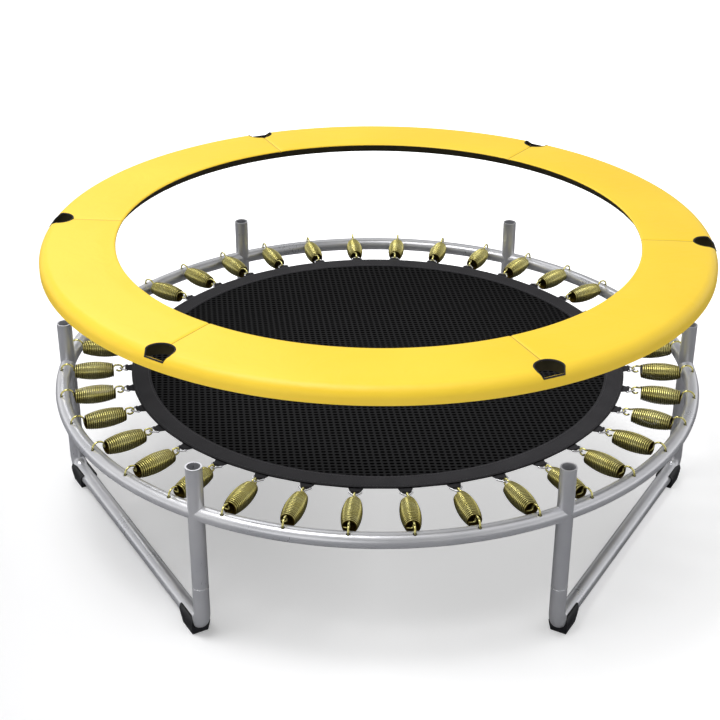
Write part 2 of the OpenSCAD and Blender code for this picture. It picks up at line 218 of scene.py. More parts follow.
class Finish:
    """A material and its node tree, with short calls for the nodes that the finishes use."""

    def __init__(self, name, colour, roughness, metallic=0.0):
        self.material = bpy.data.materials.new(name)
        self.material.use_nodes = True
        self.tree = self.material.node_tree
        self.shader = self.tree.nodes["Principled BSDF"]
        self.shader.inputs["Base Color"].default_value = colour
        self.shader.inputs["Roughness"].default_value = roughness
        self.shader.inputs["Metallic"].default_value = metallic
        self.place = self.node("ShaderNodeTexCoord").outputs["Object"]

    def node(self, kind, inputs=(), **settings):
        return new_node(self.tree, kind, inputs, settings)

    def noise(self, scale, detail=2.0, stretch=(1, 1, 1), distortion=0.0):
        """A noise value from 0 to 1, with scale features in a metre."""
        place = self.node("ShaderNodeMapping", {"Vector": self.place, "Scale": stretch}).outputs["Vector"]
        made = self.node(
            "ShaderNodeTexNoise",
            {"Vector": place, "Scale": scale, "Detail": detail, "Distortion": distortion},
        )
        return made.outputs["Fac"]

    def math(self, operation, a, b=0.0):
        return self.node("ShaderNodeMath", {0: a, 1: b}, operation=operation).outputs["Value"]

    def length(self, vector):
        return self.node("ShaderNodeVectorMath", {0: vector}, operation="LENGTH").outputs["Value"]

    def ribs(self, direction, **inputs):
        """Waves across the object's X or Y direction."""
        waves = {"Vector": self.place, **inputs}
        return self.node("ShaderNodeTexWave", waves, bands_direction=direction).outputs["Fac"]

    def blend(self, share, first, second):
        """The first colour going over to the second with the share."""
        return self.node("ShaderNodeMix", {0: share, 6: first, 7: second}, data_type="RGBA").outputs[2]

    def spread(self, value, low, high, from_low=0.0, from_high=1.0):
        """The value's range from_low to from_high, taken to low to high."""
        made = self.node(
            "ShaderNodeMapRange",
            {"Value": value, "From Min": from_low, "From Max": from_high, "To Min": low, "To Max": high},
        )
        return made.outputs["Result"]

    def colours(self, value, *stops):
        """A ramp of (position, colour) stops."""
        ramp = self.node("ShaderNodeValToRGB", {"Fac": value})
        elements = ramp.color_ramp.elements
        while len(elements) < len(stops):
            elements.new(0.5)
        for element, (position, colour) in zip(elements, stops):
            element.position = position
            element.color = colour
        return ramp.outputs["Color"]

    def connect(self, socket, value):
        self.tree.links.new(value, self.shader.inputs[socket])

    def bump(self, height, distance, under=None):
        inputs = {"Height": height, "Distance": distance}
        if under is not None:
            inputs["Normal"] = under
        made = self.node("ShaderNodeBump", inputs)
        self.connect("Normal", made.outputs["Normal"])
        return made.outputs["Normal"]


def zinc_tube():
    """Zinc-plated steel tube: satin, with a faint cloudiness and fine drawing marks."""
    finish = Finish("zinc_plated_tube", srgb(222, 223, 227), 0.3, metallic=0.66)
    cloud = finish.noise(9, detail=3)
    finish.connect("Base Color", finish.colours(
        cloud, (0.3, srgb(216, 217, 222)), (0.7, srgb(228, 228, 231))))
    grain = finish.noise(420, detail=2, stretch=(1, 1, 0.25))
    mottle = finish.math("ADD", cloud, finish.math("MULTIPLY", grain, 0.5))
    finish.connect("Roughness", finish.spread(mottle, 0.24, 0.38, 0.4, 1.0))
    finish.bump(grain, 0.00006)
    return finish.material


def yellow_zinc():
    """Yellow-passivated spring wire: golden olive, with greener and browner patches, and painted shade in
    dark brown between the turns.
    """
    finish = Finish("yellow_zinc_wire", srgb(214, 206, 134), 0.2, metallic=1.0)
    cloud = finish.noise(30, detail=2)
    plated = finish.colours(cloud, (0.3, srgb(236, 224, 132)), (0.7, srgb(248, 240, 164)))
    # Painted shade: dark brown between and inside the turns, where the coils shade each other; the wire is
    # also rougher there
    shade_share = finish.node("ShaderNodeAttribute", attribute_name="painted_coil_shade").outputs["Fac"]
    finish.connect("Base Color", finish.blend(shade_share, plated, srgb(82, 66, 18)))
    duller = finish.math("MULTIPLY", shade_share, 0.3)
    finish.connect("Roughness", finish.math("ADD", finish.spread(cloud, 0.14, 0.24), duller))
    finish.bump(finish.noise(900, detail=1), 0.00005)
    return finish.material


def bright_wire():
    """Plain bright zinc on the triangle rings and the posts' lips."""
    finish = Finish("bright_zinc_wire", srgb(240, 240, 243), 0.2, metallic=0.75)
    cloud = finish.noise(120, detail=2)
    finish.connect("Roughness", finish.spread(cloud, 0.14, 0.32))
    finish.bump(finish.noise(1200), 0.00003)
    return finish.material


def black_moulding():
    """Moulded black plastic of the feet, with a fine spark-eroded grain and scuffed spots."""
    finish = Finish("black_moulded_plastic", srgb(30, 30, 33), 0.5)
    scuff = finish.noise(45, detail=4)
    finish.connect("Base Color", finish.colours(
        scuff, (0.45, srgb(27, 27, 30)), (0.75, srgb(48, 48, 52))))
    finish.connect("Roughness", finish.spread(scuff, 0.42, 0.66))
    finish.bump(finish.noise(1500, detail=1), 0.00012)
    return finish.material


def mesh_slots(finish):
    """1 inside the mat's small slots, and 0 on its threads. Each row is shifted by a share of the pitch."""
    split = finish.node("ShaderNodeSeparateXYZ", {"Vector": finish.place})
    drift = finish.spread(finish.noise(14, detail=1), -0.2, 0.2)
    row = finish.math("ADD", finish.math("DIVIDE", split.outputs["Y"], mesh_pitch_y), drift)
    shift = finish.math("MULTIPLY", finish.math("FLOOR", row), mesh_lean)
    column = finish.math("ADD", finish.math("DIVIDE", split.outputs["X"], mesh_pitch_x), shift)

    def reach(count, pitch, slot):
        """0 in the middle of a slot and 1 at its edge, in one direction."""
        off_middle = finish.math("SUBTRACT", finish.math("FRACT", count), 0.5)
        share = finish.math("ABSOLUTE", finish.math("MULTIPLY", off_middle, 2 * pitch / slot))
        return finish.math("POWER", share, 2.6)

    wide = reach(column, mesh_pitch_x, mesh_slot_x)
    high = reach(row, mesh_pitch_y, mesh_slot_y)
    return finish.spread(finish.math("ADD", wide, high), 1.0, 0.0, 0.7, 1.3)


def woven_mesh():
    """The jumping mat: black monofilament mesh with small slots in rows, the slots painted near-black as
    shade.
    """
    finish = Finish("woven_mat_mesh", srgb(20, 20, 21), 0.8)
    finish.shader.inputs["Specular IOR Level"].default_value = 0.06
    slots = mesh_slots(finish)
    thread = finish.ribs("Y", Scale=160.0, Distortion=2.0, Detail=1.0)
    height = finish.math("SUBTRACT", finish.math("MULTIPLY", thread, 0.3), slots)
    # Painted shade: the slots are near-black, and the threads get lighter towards the crests of their ribs
    finish.connect("Base Color", finish.colours(
        finish.spread(height, 0.0, 1.0, -1.0, 0.3),
        (0.0, srgb(1, 1, 1)), (0.4, srgb(2, 2, 2)), (0.78, srgb(26, 26, 27)), (1.0, srgb(38, 38, 39))))
    finish.connect("Roughness", finish.spread(thread, 0.7, 0.85))
    finish.connect("Specular IOR Level", finish.spread(slots, 0.05, 0.0))
    finish.bump(height, 0.0008)
    return finish.material


def close_webbing():
    """Black webbing of the band, the tabs and the bindings, close and flat."""
    finish = Finish("black_webbing", srgb(42, 41, 44), 0.7)
    finish.shader.inputs["Specular IOR Level"].default_value = 0.25
    cloud = finish.noise(25, detail=3)
    finish.connect("Base Color", finish.colours(
        cloud, (0.3, srgb(42, 41, 44)), (0.7, srgb(49, 48, 51))))
    weave = finish.math("MULTIPLY", finish.ribs("X", Scale=330.0), finish.ribs("Y", Scale=330.0))
    finish.bump(weave, 0.00025)
    return finish.material


def seam_line(finish):
    """1 on the sewn line between two panels, from the inner edge to the opening, and 0 beside it."""
    split = finish.node("ShaderNodeSeparateXYZ", {"Vector": finish.place})
    turned = finish.math("ARCTAN2", split.outputs["Y"], split.outputs["X"])
    share = finish.math("FRACT", finish.math("DIVIDE", finish.math("SUBTRACT", turned, pad_turn), BAY))
    to_seam = finish.math("MINIMUM", share, finish.math("SUBTRACT", 1.0, share))
    line = finish.spread(to_seam, 1.0, 0.0, seam_line_core / ring_r / BAY, seam_line_half / ring_r / BAY)
    level = finish.node("ShaderNodeVectorMath", {0: finish.place, 1: (1, 1, 0)}, operation="MULTIPLY")
    out = finish.length(level.outputs["Vector"])
    return finish.math("MULTIPLY", line, finish.math("LESS_THAN", out, hole_centre_r))


def coated_sheet():
    """The pad's yellow coated sheet: smooth and satin, with a fine emboss and soft, shallow creases."""
    finish = Finish("yellow_coated_sheet", srgb(249, 211, 42), 0.42)
    finish.shader.inputs["Specular IOR Level"].default_value = 0.5
    cloud = finish.noise(5, detail=3)
    sheet = finish.colours(cloud, (0.3, srgb(248, 207, 44)), (0.7, srgb(250, 212, 54)))
    finish.connect("Base Color", finish.blend(seam_line(finish), sheet, srgb(188, 150, 34)))
    finish.connect("Roughness", finish.spread(cloud, 0.38, 0.5))
    crease = finish.noise(16, detail=3, distortion=1.2)
    soft = finish.bump(crease, 0.0012)
    finish.bump(finish.noise(1100, detail=1), 0.00008, under=soft)
    return finish.material


def painted_shade_olive():
    """Painted shade on the pad's underside and in the linings of its openings: a dark olive-black that
    stands in for the yellow sheet in shade.
    """
    finish = Finish("painted_shade_olive_sheet", srgb(52, 46, 24), 0.75)
    finish.shader.inputs["Specular IOR Level"].default_value = 0.25
    cloud = finish.noise(30, detail=3)
    finish.connect("Base Color", finish.colours(
        cloud, (0.3, srgb(46, 41, 21)), (0.7, srgb(58, 52, 28))))
    finish.bump(finish.noise(1600, detail=1), 0.0001)
    return finish.material


def pale_foam():
    """Closed-cell foam."""
    finish = Finish("pale_foam", srgb(238, 236, 226), 0.85)
    voronoi = finish.node("ShaderNodeTexVoronoi", {"Vector": finish.place, "Scale": 700.0})
    cells = voronoi.outputs["Distance"]
    finish.connect("Base Color", finish.colours(
        cells, (0.0, srgb(226, 223, 212)), (0.6, srgb(243, 241, 233))))
    finish.bump(cells, 0.0004)
    return finish.material


def sewing_thread():
    """Thick polyester thread."""
    finish = Finish("black_thread", srgb(60, 58, 62), 0.55)
    twist = finish.noise(2500, detail=1)
    finish.connect("Base Color", finish.colours(
        twist, (0.3, srgb(48, 46, 50)), (0.7, srgb(78, 76, 80))))
    finish.bump(twist, 0.0001)
    return finish.material


TUBE = zinc_tube()
SPRING = yellow_zinc()
BRIGHT = bright_wire()
MOULDING = black_moulding()
MESH = woven_mesh()
WEBBING = close_webbing()
SHEET = coated_sheet()
PAINTED_SHADE = painted_shade_olive()
FOAM = pale_foam()
THREAD = sewing_thread()


# Mesh helpers


def piece_from(name, verts, faces, material, smooth=True):
    """A new object with that mesh, its normals outwards."""
    mesh = bpy.data.meshes.new(name)
    mesh.from_pydata([tuple(v) for v in verts], [], faces)
    mesh.materials.append(material)
    piece = bpy.data.objects.new(name, mesh)
    bpy.context.scene.collection.objects.link(piece)
    tidy_normals(piece)
    for polygon in mesh.polygons:
        polygon.use_smooth = smooth
    return piece


def tidy_normals(piece):
    """Merges points that coincide, and turns all faces outwards."""
    work = bmesh.new()
    work.from_mesh(piece.data)
    bmesh.ops.remove_doubles(work, verts=work.verts, dist=0.01 * MM)
    bmesh.ops.recalc_face_normals(work, faces=work.faces)
    work.to_mesh(piece.data)
    work.free()


def sharp_edges(piece, degrees=35):
    """Smooth shading that stops at edges sharper than the given angle."""
    piece.data.set_sharp_from_angle(angle=math.radians(degrees))


def baked(piece):
    """The piece with its modifiers made part of a plain mesh."""
    bpy.context.view_layer.update()
    depsgraph = bpy.context.evaluated_depsgraph_get()
    mesh = bpy.data.meshes.new_from_object(piece.evaluated_get(depsgraph), depsgraph=depsgraph)
    mesh.name = piece.name
    name = piece.name
    bpy.data.objects.remove(piece)
    done = bpy.data.objects.new(name, mesh)
    bpy.context.scene.collection.objects.link(done)
    return done


def swept_strip(stations, closed=False):
    """Vertices and faces of a closed skin through stations, each one a ring of points."""
    sides = len(stations[0])
    verts = [point for station in stations for point in station]
    faces = []
    runs = len(stations) if closed else len(stations) - 1
    for i in range(runs):
        for s in range(sides):
            a = i * sides + s
            b = i * sides + (s + 1) % sides
            shift = sides if i < len(stations) - 1 else -i * sides
            faces.append((a, a + shift, b + shift, b))
    if not closed:
        faces.append(tuple(range(sides)))
        faces.append(tuple(reversed(range(len(verts) - sides, len(verts)))))
    return verts, faces


# Geometry Nodes


class Rule:
    """A Geometry Nodes tree with named inputs, run on one object at a time."""

    def __init__(self, name, **inputs):
        self.tree = bpy.data.node_groups.new(name, "GeometryNodeTree")
        face = self.tree.interface
        face.new_socket("Geometry", in_out="INPUT", socket_type="NodeSocketGeometry")
        face.new_socket("Geometry", in_out="OUTPUT", socket_type="NodeSocketGeometry")
        self.ids = {}
        for key, (kind, value) in inputs.items():
            socket = face.new_socket(key, in_out="INPUT", socket_type=kind)
            if value is not None:
                socket.default_value = value
            self.ids[key] = socket.identifier
        self.start = self.tree.nodes.new("NodeGroupInput")
        self.end = self.tree.nodes.new("NodeGroupOutput")

    def node(self, kind, inputs=(), **settings):
        return new_node(self.tree, kind, inputs, settings)

    def finish(self, geometry):
        solid = self.node("GeometryNodeRealizeInstances", {"Geometry": geometry})
        painted = self.node(
            "GeometryNodeSetMaterial",
            {"Geometry": solid.outputs["Geometry"], "Material": self.start.outputs["Material"]},
        )
        self.tree.links.new(painted.outputs["Geometry"], self.end.inputs["Geometry"])

    def run(self, piece, **values):
        modifier = piece.modifiers.new("rule", "NODES")
        modifier.node_group = self.tree
        for key, value in values.items():
            modifier[self.ids[key]] = value
        return baked(piece)


def wire_rule():
    """A round wire along a curve."""
    rule = Rule(
        "round_wire",
        Wire_radius=("NodeSocketFloat", 0.002),
        Sides=("NodeSocketInt", 8),
        Material=("NodeSocketMaterial", None),
    )
    section = rule.node(
        "GeometryNodeCurvePrimitiveCircle",
        {"Resolution": rule.start.outputs["Sides"], "Radius": rule.start.outputs["Wire_radius"]},
    )
    tube = rule.node(
        "GeometryNodeCurveToMesh",
        {
            "Curve": rule.start.outputs["Geometry"],
            "Profile Curve": section.outputs["Curve"],
            "Fill Caps": True,
        },
    )
    smooth = rule.node("GeometryNodeSetShadeSmooth", {"Geometry": tube.outputs["Mesh"]})
    rule.finish(smooth.outputs["Geometry"])
    return rule


def round_the_axis_rule():
    """Copies of a piece, turned about the trampoline's axis in equal steps."""
    rule = Rule(
        "round_the_axis",
        Count=("NodeSocketInt", 36),
        Step=("NodeSocketFloat", 0.1),
        First=("NodeSocketFloat", 0.0),
        Material=("NodeSocketMaterial", None),
    )
    places = rule.node("GeometryNodePoints", {"Count": rule.start.outputs["Count"]})
    index = rule.node("GeometryNodeInputIndex")
    turn = rule.node(
        "ShaderNodeMath",
        {0: index.outputs["Index"], 1: rule.start.outputs["Step"], 2: rule.start.outputs["First"]},
        operation="MULTIPLY_ADD",
    )
    angles = rule.node("ShaderNodeCombineXYZ", {"Z": turn.outputs["Value"]})
    copies = rule.node(
        "GeometryNodeInstanceOnPoints",
        {
            "Points": places.outputs["Points"],
            "Instance": rule.start.outputs["Geometry"],
            "Rotation": angles.outputs["Vector"],
        },
    )
    rule.finish(copies.outputs["Instances"])
    return rule


def stitch_rule():
    """Short stitches laid along a curve, at a set pitch."""
    rule = Rule(
        "stitch_row",
        Pitch=("NodeSocketFloat", 0.006),
        Length=("NodeSocketFloat", 0.004),
        Thread_radius=("NodeSocketFloat", 0.0004),
        Material=("NodeSocketMaterial", None),
    )
    row = rule.node(
        "GeometryNodeCurveToPoints",
        {"Curve": rule.start.outputs["Geometry"], "Length": rule.start.outputs["Pitch"]},
        mode="LENGTH",
    )
    stitch = rule.node(
        "GeometryNodeMeshCylinder",
        {
            "Vertices": 6,
            "Radius": rule.start.outputs["Thread_radius"],
            "Depth": rule.start.outputs["Length"],
        },
    )
    copies = rule.node(
        "GeometryNodeInstanceOnPoints",
        {
            "Points": row.outputs["Points"],
            "Instance": stitch.outputs["Mesh"],
            "Rotation": row.outputs["Rotation"],
        },
    )
    rule.finish(copies.outputs["Instances"])
    return rule


WIRE = wire_rule()
ROUND_THE_AXIS = round_the_axis_rule()
STITCHES = stitch_rule()


def one_for_each_spring(piece, material):
    """Copies of a piece made at angle 0, one in line with each spring."""
    return ROUND_THE_AXIS.run(
        piece, Count=SPRING_COUNT, Step=SPRING_STEP, First=spring_angle(0), Material=material)


def curve_through(name, points, closed=False):
    """A poly curve object through the points."""
    curve = bpy.data.curves.new(name, "CURVE")
    curve.dimensions = "3D"
    spline = curve.splines.new("POLY")
    spline.points.add(len(points) - 1)
    for place, point in zip(spline.points, points):
        place.co = (*point, 1.0)
    spline.use_cyclic_u = closed
    made = bpy.data.objects.new(name, curve)
    bpy.context.scene.collection.objects.link(made)
    return made


def spring_angle(number):
    return SPRING_STEP * (number + 0.5)


# Springs


def barrel_r(u):
    """Outside radius of the wound body at u, from 0 at its inner end to 1 at its outer one."""
    return spring_end_r + (spring_mid_r - spring_end_r) * max(0.0, math.sin(math.pi * u)) ** barrel_shoulder


def spring_route():
    """The wire of one spring in its own plane: x outwards, z up."""
    route = [(x, 0.0, z) for x, z in arc_points(loop_at, loop_r, 90 + 235, 90, 16)]
    route.append((spring_in_r - 2.0 * MM, 0.0, route[-1][2]))
    last = int((spring_turns - 0.25) * turn_points)
    for i in range(2, last + 1):
        u = i / last
        angle = math.tau * i / turn_points
        r = barrel_r(u) - spring_wire / 2
        x = spring_in_r + spring_wire / 2 + u * (spring_len - spring_wire)
        route.append((x, r * math.sin(angle), spring_z + r * math.cos(angle)))
    hook = [(x, 0.0, z) for x, z in arc_points(outer_hook_at, outer_hook_r, 190, -24, 20)]
    end = Vector(route[-1])
    turn_in = Vector((hook[0][0] - 1.0 * MM, -1.5 * MM, hook[0][2] - 2.5 * MM))
    for t in (0.35, 0.7, 0.9):
        route.append(tuple(end.lerp(turn_in, t)))
    return route + hook


def mark_coil_shade(spring):
    """An attribute on the wound body that goes from 0 on the turns' crests to 1 between and inside them:
    the mask of the painted shade and the duller wire there.
    """
    marks = spring.data.attributes.new("painted_coil_shade", "FLOAT", "POINT")
    for vertex, mark in zip(spring.data.vertices, marks.data):
        u = (vertex.co.x - spring_in_r) / spring_len
        if 0.0 < u < 1.0:
            depth = barrel_r(u) - math.hypot(vertex.co.y, vertex.co.z - spring_z)
            mark.value = smooth_step((depth - crest_depth) / dull_and_shade_depth)


def make_springs():
    """36 springs, each one stretching between its hole in the ring and its triangle ring."""
    # A little play in the wire's radius keeps neighbouring turns apart
    wire = curve_through("spring_wire", spring_route())
    pattern = WIRE.run(wire, Wire_radius=spring_wire / 2 * turn_play, Sides=12, Material=SPRING)
    mark_coil_shade(pattern)
    for number in range(SPRING_COUNT):
        angle = spring_angle(number)
        spring = pattern.copy()
        spring.data = pattern.data.copy()
        spring.name = f"wound_spring_{number + 1:02d}"
        spring.data.transform(Matrix.Rotation(angle, 4, "Z"))
        bpy.context.scene.collection.objects.link(spring)
        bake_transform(spring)
        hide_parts(f"springs_{number // SPRINGS_PER_BAY + 1}")
    bpy.data.objects.remove(pattern)


# Mat


def make_triangle_rings():
    """A closed triangle of wire with round corners in each webbing tab."""
    corners = [
        (triangle_apex_r, 0.0),
        (triangle_base_r, triangle_half),
        (triangle_base_r, -triangle_half),
    ]
    route = [(x, y, loop_at[1]) for x, y in rounded_corners(corners, 3.0 * MM, 6)]
    ring = curve_through("triangle_ring", route, closed=True)
    ring = WIRE.run(ring, Wire_radius=triangle_wire / 2, Sides=10, Material=BRIGHT)
    rings = one_for_each_spring(ring, BRIGHT)
    rings.name = "triangle_ring_set"
    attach(rings, "mat")
    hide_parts("triangle_rings")
    return rings


def strap_station(x, z, nx, nz, width):
    """A flat strap's section at a point of its route: a thin lens with round edges."""
    half = width / 2
    thick = web_t / 2
    outline = [
        (-half, 0.0), (-half + 0.8 * MM, thick), (0.0, thick * 1.1), (half - 0.8 * MM, thick),
        (half, 0.0), (half - 0.8 * MM, -thick), (0.0, -thick * 1.1), (-half + 0.8 * MM, -thick),
    ]
    return [(x + nx * t, y, z + nz * t) for y, t in outline]


def tab_half(x):
    """Half width of a tab's fold at radius x, clear of the triangle ring's slanted sides."""
    ring_half = triangle_half - (x - triangle_base_r) * triangle_slope
    return ring_half - tab_eye_r * math.hypot(1, triangle_slope)


def make_tabs():
    """Webbing tabs, sewn under the band and folded round the triangle rings."""
    eye = tab_eye_r + web_t / 2
    tail = mat_r - tab_tail
    centre = (triangle_base_r, loop_at[1])
    low = centre[1] - web_t / 2
    high = centre[1] + web_t / 2
    neck = triangle_base_r - eye - 1.5 * MM
    route = []
    for x in (tail, mat_r - 10 * MM, mat_r, neck):
        route.append((x, low, 0.0, 1.0))
    for x, z in arc_points(centre, eye, 215, 505, 14):
        route.append((x, z, (centre[0] - x) / eye, (centre[1] - z) / eye))
    for x in (neck, mat_r, mat_r - 10 * MM, tail):
        route.append((x, high, 0.0, -1.0))
    stations = []
    for x, z, nx, nz in route:
        share = smooth_step((x - mat_r) / (neck - mat_r))
        width = min(mix(tab_root_w, tab_w, share), 2 * tab_half(x))
        stations.append(strap_station(x, z, nx, nz, width))
    verts, faces = swept_strip(stations)
    tab = piece_from("webbing_tab", verts, faces, WEBBING)
    tabs = one_for_each_spring(tab, WEBBING)
    tabs.name = "webbing_tab_set"
    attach(tabs, "mat")
    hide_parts("mat_tabs")
    return tabs


def make_mat():
    """The woven mat: one stretched sheet, a little uneven between its springs."""
    around = 180
    radii = [0.0] + [mat_r * (i / 44) ** 0.8 for i in range(1, 45)]
    verts = []
    faces = []
    for z in (mat_z + mat_t, mat_z):
        base = len(verts)
        verts.append((0, 0, z))
        for r in radii[1:]:
            for s in range(around):
                angle = math.tau * s / around
                pull = 0.35 * MM * math.cos(SPRING_COUNT * angle) * smooth_step((r / mat_r - 0.8) * 5)
                verts.append(tuple(polar(r, angle, z + pull - 0.35 * MM)))
        for s in range(around):
            faces.append((base, base + 1 + s, base + 1 + (s + 1) % around))
        for i in range(len(radii) - 2):
            for s in range(around):
                a = base + 1 + i * around
                b = (s + 1) % around
                faces.append((a + s, a + around + s, a + around + b, a + b))
    top_rim = 1 + (len(radii) - 2) * around
    low_rim = 1 + (len(radii) - 1) * around + top_rim
    for s in range(around):
        b = (s + 1) % around
        faces.append((top_rim + s, low_rim + s, low_rim + b, top_rim + b))
    mat = piece_from("woven_mat", verts, faces, MESH)
    sharp_edges(mat)
    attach(mat, "mat")
    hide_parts("mat")
    return mat


def make_band():
    """The smooth band round the mat: a flat ring with a turned-in outer edge."""
    stations = []
    around = 216
    inner = mat_r - band_w
    edge = band_t / 2
    outline = [(inner, 0.0), (inner + 0.6 * MM, edge * 2), (inner + 6 * MM, edge * 2.3)]
    outline.append((mat_r - 6 * MM, edge * 2.3))
    for a in (1.2, 0.6, 0.0, -0.6, -1.2):
        outline.append((mat_r - edge + edge * math.cos(a), edge + edge * math.sin(a)))
    for s in range(around):
        angle = math.tau * s / around
        stations.append([tuple(polar(r, angle, band_z - 0.2 * MM + z)) for r, z in outline])
    verts, faces = swept_strip(stations, closed=True)
    band = piece_from("mat_edge_band", verts, faces, WEBBING)
    sharp_edges(band, 50)
    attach(band, "mat")
    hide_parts("mat_band")
    return band


def make_band_stitches():
    """Two rows of stitches, near both edges of the band."""
    rows = []
    for number, r in enumerate((mat_r - stitch_inset, mat_r - band_w + stitch_inset)):
        circle = [tuple(polar(r, math.tau * s / 360, band_z + band_t + 0.15 * MM)) for s in range(360)]
        row = curve_through(f"band_stitches_{number + 1}", circle, closed=True)
        row = STITCHES.run(
            row, Pitch=stitch_pitch, Length=stitch_len, Thread_radius=thread_r, Material=THREAD)
        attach(row, "mat")
        rows.append(row)
    return rows


# Spring pad


def top_drop(r):
    """How far the pad's top lies under its flat middle at radius r."""
    if r > pad_out_r - roll_r:
        out = min(r - (pad_out_r - roll_r), roll_r)
        return roll_r - math.sqrt(max(0.0, roll_r ** 2 - out ** 2))
    if r < pad_in_r + edge_r:
        out = min(pad_in_r + edge_r - r, edge_r)
        return edge_r - math.sqrt(max(0.0, edge_r ** 2 - out ** 2))
    return 0.0


def pad_outline():
    """The panel's section as a closed outline of (radius, height from the top), from the inner foot on."""
    outline = []
    for t in (0.0, 0.3, 0.6, 0.85):
        outline.append((mix(pad_in_r + pad_bevel, pad_in_r, t), mix(-pad_t, -edge_r, t)))
    outline += arc_points((pad_in_r + edge_r, -edge_r), edge_r, 180, 90, 6)
    flat_from = pad_in_r + edge_r
    flat_to = pad_out_r - roll_r
    outline += [(mix(flat_from, flat_to, i / 30), 0.0) for i in range(1, 30)]
    outline += arc_points((pad_out_r - roll_r, -roll_r), roll_r, 90, 0, 14)
    outline += [(pad_out_r, mix(-roll_r, -skirt_h, t)) for t in (0.4, 0.8)]
    outline += arc_points((skirt_in_r + skin_t / 2, -skirt_h + skin_t / 2), skin_t / 2, 0, -180, 6)
    outline += arc_points((pad_out_r - roll_r, -roll_r), roll_r - skin_t, 0, 90, 10)
    outline += [(pocket_wall_r, -skin_t), (pocket_wall_r, -pad_t)]
    outline += [(mix(pocket_wall_r, pad_in_r + pad_bevel, i / 12), -pad_t) for i in range(1, 12)]
    return outline


def pad_ease(r, height, angle, edge):
    """Small rise and fall of the sheet over its foam: a crown, drawn-in seams and faint waves."""
    middle = smooth_step((r - pad_in_r) / (40 * MM)) * smooth_step((pad_out_r - r) / (45 * MM))
    seam = math.exp(-(edge / (3.5 * MM)) ** 2)
    pillow = math.exp(-(edge / (38 * MM)) ** 2)
    waves = noise.noise(polar(r * 6.0, angle, 0.0)) * pad_waves
    rise = middle * (pad_crown - pad_crown * pillow + waves)
    dent = seam_dent * seam * smooth_step((hole_centre_r - r) / (10 * MM))
    return (rise - dent) * smooth_step((height + pad_t * 0.8) / (pad_t * 0.8))


def make_panel(number):
    """One of the pad's six panels, with half a pole opening cut out of each end."""
    outline = pad_outline()
    start = BAY * number + pad_turn
    steps = 132
    hair = 0.05 * MM
    crowding = 0.55
    stations = []
    for i in range(steps + 1):
        # The sections crowd together towards the seams
        t = i / steps
        share = mix(t, smooth_step(t), crowding)
        angle = start + BAY * share
        edge = min(share, 1 - share) * BAY * ring_r
        station = []
        for r, height in outline:
            z = pad_top + height + pad_ease(r, height, angle, edge)
            pinch = seam_pinch * math.exp(-(edge / (4 * MM)) ** 2) if r < pad_in_r + 2 * MM else 0.0
            station.append(tuple(polar(r + pinch, angle, z)))
        stations.append(station)
    # A hair's shift outwards keeps the ends of neighbouring panels apart
    nudge = polar(hair, start + BAY / 2)
    verts, faces = swept_strip(stations)
    panel = piece_from(f"pad_panel_{number + 1}", [Vector(v) + nudge for v in verts], faces, SHEET)
    for seam in (start, start + BAY):
        cutter = hole_prism("hole_cutter", bind_w, pad_top - pad_t - 10 * MM, pad_top + 10 * MM, seam)
        cut = panel.modifiers.new("pole_opening", "BOOLEAN")
        cut.operation = "DIFFERENCE"
        cut.solver = "EXACT"
        cut.object = cutter
    cutters = [m.object for m in panel.modifiers]
    panel = baked(panel)
    for cutter in cutters:
        bpy.data.objects.remove(cutter)
    paint_shade_below(panel)
    sharp_edges(panel, 40)
    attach(panel, "pad_skin")
    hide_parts(f"pad_cover_{number + 1}a", f"pad_cover_{number + 1}b")


def paint_shade_below(panel):
    """The painted shade, dark olive, goes on faces that look down, or inwards from under the rounded edge.
    """
    panel.data.materials.append(PAINTED_SHADE)
    for polygon in panel.data.polygons:
        inwards = Vector((polygon.center.x, polygon.center.y, 0)).normalized().dot(polygon.normal)
        inside = Vector((polygon.center.x, polygon.center.y)).length < pad_out_r - 1.0 * MM
        if inside and (polygon.normal.z < -0.2 or (inwards < -0.9 and polygon.normal.z < 0.2)):
            polygon.material_index = 1


def hole_outline(grow, steps=28):
    """A pole opening from corner to corner, as (outwards, sideways) points, grown on its sides."""
    lean = math.degrees(math.atan2(hole_r - hole_outer_half, skirt_in_r - hole_centre_r))
    points = [(skirt_in_r, -hole_outer_half - grow)]
    points += arc_points((hole_centre_r, 0.0), hole_r + grow, 270 + lean * 0.5, 90 - lean * 0.5, steps)
    points.append((skirt_in_r, hole_outer_half + grow))
    return points


def hole_prism(name, grow, low, high, angle):
    """The opening's outline as a solid between two heights."""
    outline = hole_outline(grow)
    turn = Matrix.Rotation(angle, 4, "Z")
    stations = [[tuple(turn @ Vector((x, y, z))) for x, y in outline] for z in (low, high)]
    verts, faces = swept_strip(stations)
    return piece_from(name, verts, faces, SHEET, smooth=False)


def make_lining(number):
    """The sheet's turned-down edge inside a pole opening, painted dark olive as shade."""
    angle = BAY * number + pad_turn
    turn = Matrix.Rotation(angle, 4, "Z")
    outer = hole_outline(bind_w + lining_t)
    inner = hole_outline(bind_w)
    stations = []
    for (xo, yo), (xi, yi) in zip(outer, inner):
        top = pad_top - skin_t - top_drop(xi) * 0.8
        low = pad_top - pad_t
        ring = [(xo, yo, low), (xi, yi, low), (xi, yi, top), (xo, yo, top)]
        stations.append([tuple(turn @ Vector(p)) for p in ring])
    verts, faces = swept_strip(stations)
    lining = piece_from(f"hole_lining_{number + 1}", verts, faces, PAINTED_SHADE)
    sharp_edges(lining)
    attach(lining, "pad_skin")


